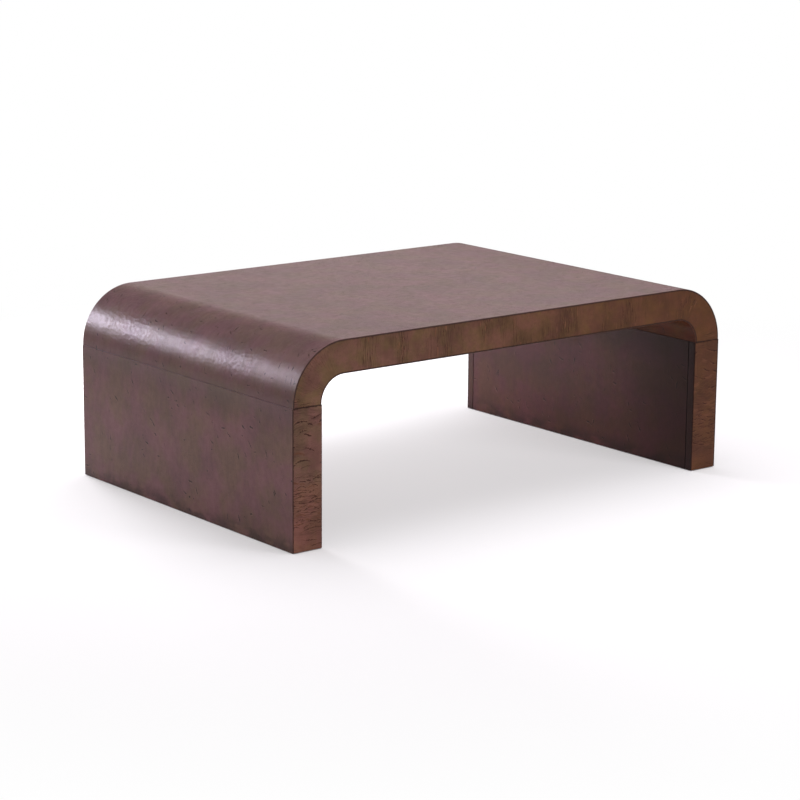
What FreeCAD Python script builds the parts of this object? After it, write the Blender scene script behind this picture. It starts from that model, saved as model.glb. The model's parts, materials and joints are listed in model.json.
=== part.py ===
# Waterfall coffee table: a bent top box carried by two leg boxes.
#
# Frame: origin on the floor under the middle of the table, +Z up, X along the table's length,
# -Y towards its front. Millimetres.
#
# The top box is a stack of bent layers over rails, formers and ribs. Its two bends share one
# centre line each, and every layer is an offset from the outer radius, so the layers stay nested
# whatever the radius or the thickness is. Each leg box is bolted up into the seam rail that
# closes the foot of the bend above it.

import FreeCAD, Part
import math
import os
import re

import Sketcher
from FreeCAD import Placement, Rotation, Vector

# ---------------------------------------------------------------------------
# Driving dimensions
# ---------------------------------------------------------------------------

SIZES = [
    ("length", 1067, "overall length, across the two legs"),
    ("depth", 711, "overall depth, front to rear"),
    ("height", 381, "floor to tabletop"),
    ("bend_radius", 114, "outer radius of the bends, which end at the seams"),
    ("top_thickness", 63.5, "thickness of the top box and of its bends"),
    ("seam_step", 1.25, "how far a leg box stands proud of the bend above it, on both faces"),
    ("face_veneer", 2, "thick-cut veneer on faces"),
    ("edge_veneer", 2, "cross-banded veneer on the front and rear edges"),
    ("skin", 6, "bending ply under the veneer"),
    ("glue_line", 0.1, "between two bent layers"),
    ("rim", 16, "rails, bend blocks and stiles behind the edge veneer"),
    ("splice_offset", 18, "butt joint of the edge veneer, left of the middle"),
    ("splice_gap", 0.3, "open line at that butt joint"),
    ("rib", 18, "cross ribs, bend formers and leg ribs"),
    ("cross_rib_count", 5, "ribs across the flat of the top"),
    ("former_count", 3, "formers inside each bend"),
    ("former_inset", 135, "front or rear face to the nearest inner former"),
    ("seam_rail", 32, "height of the rail at the foot of a bend"),
    ("panel", 12, "leg panels"),
    ("panel_gap", 0.8, "hairline between the inner panel and its stiles"),
    ("top_rail", 44, "height of a leg's top rail"),
    ("bottom_rail", 30, "height of a leg's bottom rail"),
    ("leg_rib_inset", 225, "front or rear face to the nearest of a leg's two ribs"),
    ("arris", 1, "bevel on the exposed edges and on each side of a seam"),
    ("bolt_inset", 125, "front or rear face to the nearest of a leg's two bolts"),
    ("bolt_diameter", 8, "M8 shank"),
    ("bolt_play", 0.5, "radial play of a bolt in its rail and washer"),
    ("thread_grip", 14, "length of bolt inside its insert"),
    ("bolt_head", 13, "hexagon head, across the flats"),
    ("bolt_head_height", 5.3, "hexagon head"),
    ("washer_diameter", 22, "washer under a bolt head"),
    ("washer_thickness", 2, "washer under a bolt head"),
    ("access_play", 2, "radial room for a washer in the access hole"),
    ("insert_diameter", 12, "threaded insert in the seam rail"),
    ("insert_length", 20, "threaded insert in the seam rail"),
    ("dowel_inset", 225, "front or rear face to the nearest of a seam's two dowels"),
    ("dowel_diameter", 10, "alignment dowel"),
    ("dowel_length", 50, "alignment dowel"),
    ("dowel_room", 1, "room past each end of a dowel"),
    ("fit_play", 0.1, "radial play of a dowel, an insert or a stem in its hole"),
    ("glide_inset", 45, "front or rear face to the nearest of a leg's two glides"),
    ("glide_diameter", 24, "head of a nylon glide"),
    ("glide_stand", 1.5, "thickness of that head, which stands under the leg"),
    ("stem_diameter", 8, "stem of a glide"),
    ("stem_length", 16, "stem of a glide"),
    ("stem_room", 1, "room past the end of a stem"),
]

# Sizes worked out from them, as formulas over the same names.
SEAM = "(height - bend_radius)"
BEND_X = "(length / 2 - seam_step - bend_radius)"
SKIN_OUT = "(bend_radius - face_veneer - glue_line)"
CORE_OUT = "(bend_radius - face_veneer - skin - 2 * glue_line)"
INNER_RADIUS = "(bend_radius - top_thickness)"
SKIN_IN = "(bend_radius - top_thickness + face_veneer + glue_line)"
CORE_IN = "(bend_radius - top_thickness + face_veneer + skin + 2 * glue_line)"
RIM_Y = "(depth / 2 - edge_veneer - rim / 2)"
INSIDE_DEPTH = "(depth - 2 * edge_veneer - 2 * rim)"
LEG = "(top_thickness + 2 * seam_step)"
LEG_X = f"(length / 2 - {LEG} / 2)"
LEG_INNER_X = f"(length / 2 - {LEG})"
LEG_CORE = f"({LEG} - 2 * face_veneer - 2 * panel)"
LEG_HEIGHT = "(height - bend_radius - glide_stand)"
FORMER_SPAN = "(depth - 2 * former_inset)"
LEG_RIB_SPAN = "(depth - 2 * leg_rib_inset)"
BOLT_SPAN = "(depth - 2 * bolt_inset)"
BOLT_LENGTH = "(top_rail + washer_thickness + thread_grip)"
DOWEL_SPAN = "(depth - 2 * dowel_inset)"
GLIDE_SPAN = "(depth - 2 * glide_inset)"

LEFT, RIGHT = -1, 1
FRONT, REAR = -1, 1
SIDE_NAMES = {LEFT: "left", RIGHT: "right"}
END_NAMES = {FRONT: "front", REAR: "rear"}
NEAR = 1e-4

doc = FreeCAD.newDocument("coffee_table")
sizes = doc.addObject("Spreadsheet::Sheet", "sizes")
for row, (alias, number, meaning) in enumerate(SIZES, start=1):
    sizes.set(f"A{row}", alias)
    sizes.set(f"B{row}", str(number))
    sizes.set(f"C{row}", meaning)
    sizes.setAlias(f"B{row}", alias)
doc.recompute()

ALIASES = {alias for alias, number, meaning in SIZES}
sub_parts = []


# ---------------------------------------------------------------------------
# Formulas and bodies
# ---------------------------------------------------------------------------

def formula(text):
    """A formula over the sheet's names, written the way FreeCAD reads it."""
    return re.sub(r"[a-z_]+", lambda word: "sizes." + word[0] if word[0] in ALIASES else word[0], text)


def number_of(text):
    """The present value of a formula."""
    return float(sizes.evalExpression(formula(text)))


def bind(item, place, text):
    item.setExpression(place, formula(text))


def new_body(label, x="0", y="0", z="0", side=RIGHT):
    """An empty sub-part placed by formulas. A part of the left side is turned half round."""
    body = doc.addObject("PartDesign::Body", label)
    body.Label = label
    turn = Rotation(Vector(0, 0, 1), 180 if side == LEFT else 0)
    body.Placement = Placement(Vector(number_of(x), number_of(y), number_of(z)), turn)
    for axis, text in (("x", x), ("y", y), ("z", z)):
        bind(body, f"Placement.Base.{axis}", text)
    sub_parts.append(body)
    return body


def origin_feature(body, role):
    return next(item for item in body.Origin.OriginFeatures if item.Role == role)


def new_sketch(body, name, plane, lift="0"):
    """A sketch on one of the body's own planes, moved along that plane's normal by lift."""
    sketch = body.newObject("Sketcher::SketchObject", name)
    sketch.AttachmentSupport = [(origin_feature(body, plane), "")]
    sketch.MapMode = "FlatFace"
    bind(sketch, "AttachmentOffset.Base.z", lift)
    return sketch


def dimension(sketch, name, kind, *where, size):
    """A named sketch dimension that follows a formula."""
    index = sketch.addConstraint(Sketcher.Constraint(kind, *where, number_of(size)))
    sketch.renameConstraint(index, name)
    bind(sketch, f"Constraints.{name}", size)


def pad(body, sketch, length, both_ways=False):
    feature = body.newObject("PartDesign::Pad", sketch.Label + "_pad")
    feature.Profile = sketch
    feature.SideType = "Symmetric" if both_ways else "One side"
    bind(feature, "Length", length)
    doc.recompute()
    return feature


def cut_smaller(body, feature, before):
    """A cut has to take material away, so a cut that points out of the piece stops the build."""
    body.Tip = feature
    doc.recompute()
    if not body.Shape.Volume < before - NEAR:
        raise ValueError(f"{feature.Name} cuts nothing from {body.Label}")


def close(a, b):
    return abs(a - b) < NEAR


def bevel(body, wanted):
    """Take the arris off the edges whose bounding box passes the test."""
    plain = body.Tip
    edges = [f"Edge{n}" for n, edge in enumerate(plain.Shape.Edges, start=1) if wanted(edge.BoundBox)]
    before = body.Shape.Volume
    sloped = body.newObject("PartDesign::Chamfer", body.Label + "_arris")
    sloped.Base = (plain, edges)
    bind(sloped, "Size", "arris")
    cut_smaller(body, sloped, before)


def row_of(body, features, axis, span, count="2"):
    """Repeat features in a row that ends span away, against the given axis."""
    row = body.newObject("PartDesign::LinearPattern", features[0].Name + "_row")
    row.Originals = features
    row.Direction = (origin_feature(body, axis), [""])
    row.Reversed = True
    bind(row, "Length", span)
    bind(row, "Occurrences", count)
    body.Tip = row
    doc.recompute()


# ---------------------------------------------------------------------------
# Outlines
# ---------------------------------------------------------------------------

def segment(x0, y0, x1, y1):
    return Part.LineSegment(Vector(x0, y0, 0), Vector(x1, y1, 0))


def arc(x, y, radius, start, end):
    return Part.ArcOfCircle(Part.Circle(Vector(x, y, 0), Vector(0, 0, 1), radius), start, end)


def join(sketch, *pairs):
    """Make pairs of points coincide, each point given as (geometry, point)."""
    for first, second in pairs:
        sketch.addConstraint(Sketcher.Constraint("Coincident", *first, *second))


def level(sketch, *pairs):
    for first, second in pairs:
        sketch.addConstraint(Sketcher.Constraint("Horizontal", *first, *second))


def plumb(sketch, *pairs):
    for first, second in pairs:
        sketch.addConstraint(Sketcher.Constraint("Vertical", *first, *second))


START, END, CENTRE = 1, 2, 3
ORIGIN = (-1, 1)
UPRIGHT_AXIS = -2
QUARTER = math.pi / 2


def rectangle(sketch, width, depth):
    """A rectangle centred on the sketch's origin."""
    half_width = number_of(width) / 2
    half_depth = number_of(depth) / 2
    corners = [(-1, -1), (1, -1), (1, 1), (-1, 1)]
    for (x0, y0), (x1, y1) in zip(corners, corners[1:] + corners[:1]):
        sketch.addGeometry(segment(x0 * half_width, y0 * half_depth, x1 * half_width, y1 * half_depth))
    join(sketch, *[((side, END), ((side + 1) % 4, START)) for side in range(4)])
    level(sketch, ((0, START), (0, END)), ((2, START), (2, END)))
    plumb(sketch, ((1, START), (1, END)), ((3, START), (3, END)))
    sketch.addConstraint(Sketcher.Constraint("Symmetric", 0, START, 2, START, *ORIGIN))
    dimension(sketch, "width", "DistanceX", 0, START, 0, END, size=width)
    dimension(sketch, "depth", "DistanceY", 1, START, 1, END, size=depth)


def circle(sketch, diameter, y):
    """One circle on the sketch's upright axis, y above its origin."""
    sketch.addGeometry(Part.Circle(Vector(0, number_of(y), 0), Vector(0, 0, 1), number_of(diameter) / 2))
    plumb(sketch, (ORIGIN, (0, CENTRE)))
    dimension(sketch, "place", "DistanceY", *ORIGIN, 0, CENTRE, size=y)
    dimension(sketch, "diameter", "Diameter", 0, size=diameter)


def waterfall(sketch, outer, inner):
    """The whole bent section between two radii: the flat, both bends and both ends."""
    bend_x = number_of(BEND_X)
    seam = number_of(SEAM)
    big = number_of(outer)
    small = number_of(inner)
    sketch.addGeometry([
        segment(-bend_x, seam + big, bend_x, seam + big),
        arc(bend_x, seam, big, 0, QUARTER),
        segment(bend_x + big, seam, bend_x + small, seam),
        arc(bend_x, seam, small, 0, QUARTER),
        segment(bend_x, seam + small, -bend_x, seam + small),
        arc(-bend_x, seam, small, QUARTER, 2 * QUARTER),
        segment(-bend_x - small, seam, -bend_x - big, seam),
        arc(-bend_x, seam, big, QUARTER, 2 * QUARTER),
    ])
    top, outer_right, end_right, inner_right, under, inner_left, end_left, outer_left = range(8)
    join(
        sketch,
        ((top, END), (outer_right, END)),
        ((outer_right, START), (end_right, START)),
        ((end_right, END), (inner_right, START)),
        ((inner_right, END), (under, START)),
        ((under, END), (inner_left, START)),
        ((inner_left, END), (end_left, START)),
        ((end_left, END), (outer_left, END)),
        ((outer_left, START), (top, START)),
        ((outer_right, CENTRE), (inner_right, CENTRE)),
        ((outer_left, CENTRE), (inner_left, CENTRE)),
    )
    sketch.addConstraint(
        Sketcher.Constraint("Symmetric", outer_right, CENTRE, outer_left, CENTRE, UPRIGHT_AXIS))
    for right_arc, left_arc in ((outer_right, outer_left), (inner_right, inner_left)):
        level(sketch, ((right_arc, CENTRE), (right_arc, START)), ((left_arc, CENTRE), (left_arc, END)))
        plumb(sketch, ((right_arc, CENTRE), (right_arc, END)), ((left_arc, CENTRE), (left_arc, START)))
        sketch.addConstraint(Sketcher.Constraint("Equal", right_arc, left_arc))
    dimension(sketch, "bend_x", "DistanceX", *ORIGIN, outer_right, CENTRE, size=BEND_X)
    dimension(sketch, "seam", "DistanceY", *ORIGIN, outer_right, CENTRE, size=SEAM)
    dimension(sketch, "outer", "Radius", outer_right, size=outer)
    dimension(sketch, "inner", "Radius", inner_right, size=inner)


def bend_and_flat(sketch, outer, inner, flat):
    """A right-hand bend about the sketch's origin, with a length of flat on its left."""
    big = number_of(outer)
    small = number_of(inner)
    run = number_of(flat)
    sketch.addGeometry([
        segment(-run, big, 0, big),
        arc(0, 0, big, 0, QUARTER),
        segment(big, 0, small, 0),
        arc(0, 0, small, 0, QUARTER),
        segment(0, small, -run, small),
        segment(-run, small, -run, big),
    ])
    top, outer_arc, end, inner_arc, under, butt = range(6)
    join(
        sketch,
        ((top, END), (outer_arc, END)),
        ((outer_arc, START), (end, START)),
        ((end, END), (inner_arc, START)),
        ((inner_arc, END), (under, START)),
        ((under, END), (butt, START)),
        ((butt, END), (top, START)),
        ((outer_arc, CENTRE), ORIGIN),
        ((inner_arc, CENTRE), ORIGIN),
    )
    for bend in (outer_arc, inner_arc):
        level(sketch, ((bend, CENTRE), (bend, START)))
        plumb(sketch, ((bend, CENTRE), (bend, END)))
    level(sketch, ((top, START), (top, END)), ((under, START), (under, END)))
    plumb(sketch, ((butt, START), (butt, END)))
    dimension(sketch, "outer", "Radius", outer_arc, size=outer)
    dimension(sketch, "inner", "Radius", inner_arc, size=inner)
    dimension(sketch, "flat", "DistanceX", top, START, top, END, size=flat)


def bend_slice(sketch, outer, inner, low=None, high=None):
    """The core of a right-hand bend about the sketch's origin, between two heights.

    Without a low it starts at the seam, and without a high it ends where the flat begins.
    """
    big = number_of(outer)
    small = number_of(inner)
    low_angle = {size: math.asin(number_of(low) / size) if low else 0 for size in (big, small)}
    high_angle = {size: math.asin(number_of(high) / size) if high else QUARTER for size in (big, small)}
    ends = {
        size: [(size * math.cos(turn), size * math.sin(turn)) for turn in (low_angle[size], high_angle[size])]
        for size in (big, small)
    }
    sketch.addGeometry([
        arc(0, 0, big, low_angle[big], high_angle[big]),
        segment(*ends[big][1], *ends[small][1]),
        arc(0, 0, small, low_angle[small], high_angle[small]),
        segment(*ends[small][0], *ends[big][0]),
    ])
    outer_arc, head, inner_arc, foot = range(4)
    join(
        sketch,
        ((outer_arc, END), (head, START)),
        ((head, END), (inner_arc, END)),
        ((inner_arc, START), (foot, START)),
        ((foot, END), (outer_arc, START)),
        ((outer_arc, CENTRE), ORIGIN),
        ((inner_arc, CENTRE), ORIGIN),
    )
    dimension(sketch, "outer", "Radius", outer_arc, size=outer)
    dimension(sketch, "inner", "Radius", inner_arc, size=inner)
    if low:
        level(sketch, ((foot, START), (foot, END)))
        dimension(sketch, "low", "DistanceY", *ORIGIN, outer_arc, START, size=low)
    else:
        level(sketch, (ORIGIN, (outer_arc, START)), (ORIGIN, (inner_arc, START)))
    if high:
        level(sketch, ((head, START), (head, END)))
        dimension(sketch, "high", "DistanceY", *ORIGIN, outer_arc, END, size=high)
    else:
        plumb(sketch, (ORIGIN, (outer_arc, END)), (ORIGIN, (inner_arc, END)))


def ring(sketch, diameters):
    """Circles about the sketch's origin: one makes a disc, two a ring."""
    for diameter in diameters:
        radius = number_of(diameter) / 2
        index = sketch.addGeometry(Part.Circle(Vector(0, 0, 0), Vector(0, 0, 1), radius))
        join(sketch, ((index, CENTRE), ORIGIN))
        dimension(sketch, f"diameter_{index}", "Diameter", index, size=diameter)


def hexagon(sketch, across):
    """A regular hexagon about the sketch's origin, measured across its flats."""
    radius = number_of(across) / math.sqrt(3)
    corners = [
        (radius * math.cos(n * math.pi / 3), radius * math.sin(n * math.pi / 3)) for n in range(6)
    ]
    for (x0, y0), (x1, y1) in zip(corners, corners[1:] + corners[:1]):
        sketch.addGeometry(segment(x0, y0, x1, y1))
    join(sketch, *[((n, END), ((n + 1) % 6, START)) for n in range(6)])
    guide = sketch.addGeometry(Part.Circle(Vector(0, 0, 0), Vector(0, 0, 1), radius), True)
    join(sketch, ((guide, CENTRE), ORIGIN))
    for n in range(6):
        sketch.addConstraint(Sketcher.Constraint("PointOnObject", n, START, guide))
    for n in range(1, 6):
        sketch.addConstraint(Sketcher.Constraint("Equal", 0, n))
    level(sketch, (ORIGIN, (0, START)))
    dimension(sketch, "corner_circle", "Diameter", guide, size=f"{across} * 2 / sqrt(3)")


# ---------------------------------------------------------------------------
# Boards and drilling
# ---------------------------------------------------------------------------

def board(label, width, depth, thickness, x, y, z, side=RIGHT):
    """A board standing or lying on its own XY plane, centred on its placement."""
    body = new_body(label, x, y, z, side)
    sketch = new_sketch(body, label + "_outline", "XY_Plane")
    rectangle(sketch, width, depth)
    pad(body, sketch, thickness)
    return body


def drill(body, name, diameter, span, depth, x="0", top=None):
    """Two holes along Y, x beside the body's middle: up from the bottom, or down from the top."""
    before = body.Shape.Volume
    sketch = new_sketch(body, name + "_place", "XY_Plane", lift=top or "0")
    bind(sketch, "AttachmentOffset.Base.x", x)
    circle(sketch, diameter, f"{span} / 2")
    hole = body.newObject("PartDesign::Pocket", name)
    hole.Profile = sketch
    hole.Reversed = top is None
    bind(hole, "Length", depth)
    cut_smaller(body, hole, before)
    row_of(body, [hole], "Y_Axis", span)


def stacked_pair(label, stages, x, z, span):
    """Two identical pieces along Y, each a stack of upright stages (outline, size, height)."""
    body = new_body(label, x, f"{span} / 2", z)
    base = "0"
    features = []
    for outline, size, height in stages:
        sketch = new_sketch(body, f"{label}_{outline.__name__}", "XY_Plane", lift=base)
        outline(sketch, size)
        features.append(pad(body, sketch, height))
        base = f"{base} + {height}"
    row_of(body, features, "Y_Axis", span)


# ---------------------------------------------------------------------------
# The top box
# ---------------------------------------------------------------------------

def bent_layer(label, outer, inner, depth):
    """One layer of the top box: the whole waterfall section, the full depth of the layer."""
    body = new_body(label)
    sketch = new_sketch(body, label + "_section", "XZ_Plane")
    waterfall(sketch, outer, inner)
    pad(body, sketch, depth, both_ways=True)
    return body


def bent_veneer(label, outer, inner, visible):
    """A bent face veneer with its exposed edges bevelled; visible is the radius of its show side."""
    body = bent_layer(label, outer, inner, "depth")
    seam = number_of(SEAM)
    face_x = number_of(BEND_X) + number_of(visible)
    face_z = seam + number_of(visible)
    half_depth = number_of("depth") / 2

    def exposed(edge):
        along_the_rim = (
            close(abs(edge.YMin), half_depth) and edge.YLength < NEAR and close(edge.ZMax, face_z))
        at_a_seam = close(abs(edge.XMin), face_x) and edge.XLength < NEAR and close(edge.ZMax, seam)
        return along_the_rim or at_a_seam

    bevel(body, exposed)


def top_edge_veneer(end, side):
    """Half of the cross-banded edge of the top, from the butt joint to the foot of one bend."""
    label = f"{END_NAMES[end]}_edge_veneer_{SIDE_NAMES[side]}"
    body = new_body(
        label, f"{side} * {BEND_X}", f"{end} * (depth - edge_veneer) / 2", SEAM, side)
    sketch = new_sketch(body, label + "_section", "XZ_Plane")
    flat = f"{BEND_X} + {side} * splice_offset - splice_gap / 2"
    bend_and_flat(sketch, SKIN_OUT, SKIN_IN, flat)
    pad(body, sketch, "edge_veneer", both_ways=True)
    visible_y = end * side * number_of("edge_veneer") / 2
    bevel(body, lambda edge: close(edge.ZMax, 0) and close(edge.YMin, visible_y)
          and close(edge.YMax, visible_y))


def bend_block(end, side):
    """A corner of the rim: the full quarter of the core, behind the edge veneer."""
    label = f"{END_NAMES[end]}_bend_block_{SIDE_NAMES[side]}"
    body = new_body(label, f"{side} * {BEND_X}", f"{end} * {RIM_Y}", SEAM, side)
    sketch = new_sketch(body, label + "_section", "XZ_Plane")
    bend_slice(sketch, CORE_OUT, CORE_IN)
    pad(body, sketch, "rim", both_ways=True)


def bend_formers(side):
    """The inner formers that hold the bent skins apart, standing on the seam rail."""
    label = f"bend_formers_{SIDE_NAMES[side]}"
    body = new_body(label, f"{side} * {BEND_X}", f"{side} * {FORMER_SPAN} / 2", SEAM, side)
    sketch = new_sketch(body, label + "_section", "XZ_Plane")
    bend_slice(sketch, CORE_OUT, CORE_IN, low="seam_rail")
    former = pad(body, sketch, "rib", both_ways=True)
    row_of(body, [former], "Y_Axis", FORMER_SPAN, "former_count")


def seam_rail(side):
    """The rail that closes the foot of a bend, curved to both skins and drilled from below."""
    label = f"seam_rail_{SIDE_NAMES[side]}"
    body = new_body(label, f"{side} * {BEND_X}", "0", SEAM, side)
    sketch = new_sketch(body, label + "_section", "XZ_Plane")
    bend_slice(sketch, CORE_OUT, CORE_IN, high="seam_rail")
    pad(body, sketch, INSIDE_DEPTH, both_ways=True)
    middle = f"{LEG_X} - {BEND_X}"
    drill(body, label + "_insert_holes", "insert_diameter + 2 * fit_play", BOLT_SPAN,
          "insert_length", x=middle)
    drill(body, label + "_dowel_holes", "dowel_diameter + 2 * fit_play", DOWEL_SPAN,
          "dowel_length / 2 + dowel_room", x=middle)


def top_box():
    bent_veneer("top_face_veneer", "bend_radius", "bend_radius - face_veneer", "bend_radius")
    bent_layer("top_outer_skin", SKIN_OUT, f"{SKIN_OUT} - skin", "depth - 2 * edge_veneer")
    bent_layer("underside_skin", f"{SKIN_IN} + skin", SKIN_IN, "depth - 2 * edge_veneer")
    bent_veneer("underside_veneer", f"{INNER_RADIUS} + face_veneer", INNER_RADIUS, INNER_RADIUS)
    core_height = f"{CORE_OUT} - {CORE_IN}"
    core_z = f"{SEAM} + {CORE_IN}"
    for end in (FRONT, REAR):
        board(f"{END_NAMES[end]}_rail", f"2 * {BEND_X}", "rim", core_height,
              "0", f"{end} * {RIM_Y}", core_z)
        for side in (LEFT, RIGHT):
            top_edge_veneer(end, side)
            bend_block(end, side)
    ribs = board("cross_ribs", "rib", INSIDE_DEPTH, core_height, f"{BEND_X} - rib / 2", "0", core_z)
    row_of(ribs, [ribs.Tip], "X_Axis", f"2 * {BEND_X} - rib", "cross_rib_count")
    for side in (LEFT, RIGHT):
        bend_formers(side)
        seam_rail(side)


# ---------------------------------------------------------------------------
# A leg box
# ---------------------------------------------------------------------------

def bevel_board(body, x, y=0):
    """Bevel a board's top edges on its x and y sides, and the upright edges of its show side.

    x and y are signs. An edge veneer shows on both its sides, and a face veneer with no y
    side given is bevelled along both its upright edges.
    """
    box = body.Tip.Shape.BoundBox

    def exposed(edge):
        at_x = edge.XLength < NEAR and close(edge.XMin, x * box.XMax)
        at_y = edge.YLength < NEAR and close(edge.YMin, y * box.YMax)
        at_top = close(edge.ZMin, box.ZMax)
        upright = close(edge.ZLength, box.ZLength)
        return at_top and (at_x or at_y) or upright and at_x and (at_y or not y)

    bevel(body, exposed)


def bevel_top(body, x):
    """Bevel a board's top edge on its x side alone."""
    box = body.Tip.Shape.BoundBox
    bevel(body, lambda edge: close(edge.ZMin, box.ZMax) and close(edge.XMin, x * box.XMax)
          and edge.XLength < NEAR)


def leg_panels(name, side):
    """The outer panel and its veneer, and the inner panel and its veneer between the stiles."""
    veneer = board(f"{name}_outer_veneer", "face_veneer", "depth", LEG_HEIGHT,
                   f"{side} * (length - face_veneer) / 2", "0", "glide_stand")
    bevel_board(veneer, side)
    board(f"{name}_outer_panel", "panel", "depth - 2 * edge_veneer", LEG_HEIGHT,
          f"{side} * (length / 2 - face_veneer - panel / 2)", "0", "glide_stand")
    between = f"{INSIDE_DEPTH} - 2 * panel_gap"
    board(f"{name}_inner_panel", "panel", between, LEG_HEIGHT,
          f"{side} * ({LEG_INNER_X} + face_veneer + panel / 2)", "0", "glide_stand")
    veneer = board(f"{name}_inner_veneer", "face_veneer", between, LEG_HEIGHT,
                   f"{side} * ({LEG_INNER_X} + face_veneer / 2)", "0", "glide_stand")
    bevel_top(veneer, -side)


def leg_edge(name, side, end):
    """A stile, with its inner side showing beside the inner panel, and the edge veneer on it."""
    label = f"{name}_{END_NAMES[end]}"
    veneer_width = f"({LEG} - face_veneer)"
    veneer = board(f"{label}_edge_veneer", veneer_width, "edge_veneer", LEG_HEIGHT,
                   f"{side} * ({LEG_INNER_X} + {veneer_width} / 2)",
                   f"{end} * (depth - edge_veneer) / 2", "glide_stand")
    bevel_board(veneer, -side, end)
    stile_width = f"({veneer_width} - panel)"
    stile = board(f"{label}_stile", stile_width, "rim", LEG_HEIGHT,
                  f"{side} * ({LEG_INNER_X} + {stile_width} / 2)", f"{end} * {RIM_Y}", "glide_stand")
    bevel_top(stile, -side)


def leg_frame(name, side):
    """The rails and ribs between the panels, drilled for the bolts, the dowels and the glides."""
    x = f"{side} * {LEG_X}"
    rail = board(f"{name}_top_rail", LEG_CORE, INSIDE_DEPTH, "top_rail", x, "0", f"{SEAM} - top_rail")
    drill(rail, f"{name}_bolt_holes", "bolt_diameter + 2 * bolt_play", BOLT_SPAN, "top_rail",
          top="top_rail")
    drill(rail, f"{name}_dowel_holes", "dowel_diameter + 2 * fit_play", DOWEL_SPAN,
          "dowel_length / 2 + dowel_room", top="top_rail")
    rail = board(f"{name}_bottom_rail", LEG_CORE, INSIDE_DEPTH, "bottom_rail", x, "0", "glide_stand")
    drill(rail, f"{name}_access_holes", "washer_diameter + 2 * access_play", BOLT_SPAN, "bottom_rail")
    drill(rail, f"{name}_stem_holes", "stem_diameter + 2 * fit_play", GLIDE_SPAN,
          "stem_length + stem_room")
    ribs = board(f"{name}_ribs", LEG_CORE, "rib", f"{LEG_HEIGHT} - top_rail - bottom_rail",
                 x, f"{LEG_RIB_SPAN} / 2", "glide_stand + bottom_rail")
    row_of(ribs, [ribs.Tip], "Y_Axis", LEG_RIB_SPAN)


def hardware(name, side):
    """What draws a leg up to its bend and lines it up, and the nylon glides in its foot."""
    x = f"{side} * {LEG_X}"
    washer_z = f"{SEAM} - top_rail - washer_thickness"
    stacked_pair(f"{name}_threaded_inserts",
                 [(ring, ("insert_diameter", "bolt_diameter + 2 * fit_play"), "insert_length")],
                 x, SEAM, BOLT_SPAN)
    stacked_pair(f"{name}_washers",
                 [(ring, ("washer_diameter", "bolt_diameter + 2 * bolt_play"), "washer_thickness")],
                 x, washer_z, BOLT_SPAN)
    stacked_pair(f"{name}_bolts",
                 [(hexagon, "bolt_head", "bolt_head_height"), (ring, ("bolt_diameter",), BOLT_LENGTH)],
                 x, f"{washer_z} - bolt_head_height", BOLT_SPAN)
    stacked_pair(f"{name}_dowels", [(ring, ("dowel_diameter",), "dowel_length")],
                 x, f"{SEAM} - dowel_length / 2", DOWEL_SPAN)
    stacked_pair(f"{name}_glides",
                 [(ring, ("glide_diameter",), "glide_stand"), (ring, ("stem_diameter",), "stem_length")],
                 x, "0", GLIDE_SPAN)


def leg_box(side):
    name = f"{SIDE_NAMES[side]}_leg"
    leg_panels(name, side)
    for end in (FRONT, REAR):
        leg_edge(name, side, end)
    leg_frame(name, side)
    hardware(name, side)


# ---------------------------------------------------------------------------
# Build, test and write
# ---------------------------------------------------------------------------

top_box()
for leg_side in (LEFT, RIGHT):
    leg_box(leg_side)
doc.recompute()

for item in doc.Objects:
    if "Invalid" in item.State or "Error" in item.State:
        raise ValueError(f"{item.Name} is {item.State}")
for body in sub_parts:
    if body.Shape.isNull() or not body.Shape.isValid():
        raise ValueError(f"{body.Label} has no valid shape")

os.makedirs("parts", exist_ok=True)
for body in sub_parts:
    body.Shape.exportStep(f"parts/{body.Label}.step")
print(len(sub_parts), "sub-parts written")
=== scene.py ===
# %% [markdown]
# # Waterfall coffee table
#
# The table is a bent top on two slab legs, all under stained oak veneer. One sheet runs over the
# top and turns down at each end in a quarter round, and the leg goes on below it. The front and
# rear edges are cross-banded: there the grain runs across the thickness. A thin joint line at the
# foot of each bend shows where the leg box is bolted on.
#
# The construction model is loaded first and is never changed. The flat and hidden pieces keep their
# own meshes and get finishes here. The pieces that curve, or that carry an eased edge, are
# modelled again with enough steps to be smooth, each in the place of the node it stands for.

# %% Load the construction model
import json
import math

import bmesh
import bpy
from mathutils import Matrix, Vector


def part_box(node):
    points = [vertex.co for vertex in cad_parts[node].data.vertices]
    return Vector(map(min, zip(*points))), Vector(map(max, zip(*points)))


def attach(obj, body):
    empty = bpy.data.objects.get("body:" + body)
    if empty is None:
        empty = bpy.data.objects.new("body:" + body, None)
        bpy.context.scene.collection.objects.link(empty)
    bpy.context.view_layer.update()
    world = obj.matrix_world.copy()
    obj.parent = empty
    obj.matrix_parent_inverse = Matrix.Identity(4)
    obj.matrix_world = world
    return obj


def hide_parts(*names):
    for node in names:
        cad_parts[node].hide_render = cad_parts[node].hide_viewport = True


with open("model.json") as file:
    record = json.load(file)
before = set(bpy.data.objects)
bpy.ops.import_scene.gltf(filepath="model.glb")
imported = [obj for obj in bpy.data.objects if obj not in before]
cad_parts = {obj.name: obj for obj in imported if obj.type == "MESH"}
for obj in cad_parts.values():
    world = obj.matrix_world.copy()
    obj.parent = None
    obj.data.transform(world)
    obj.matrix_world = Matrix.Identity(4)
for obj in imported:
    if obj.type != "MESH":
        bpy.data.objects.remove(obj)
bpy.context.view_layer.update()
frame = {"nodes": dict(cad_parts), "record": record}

# %% [markdown]
# ## The sizes that everything else follows
#
# A maker sets out a bend from two lines: the seam, which is the level of the bend's centre, and the
# tangent line, where the flat ends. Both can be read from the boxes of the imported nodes, so the new
# pieces always land where the construction model says. Lengths are in metres.

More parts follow.
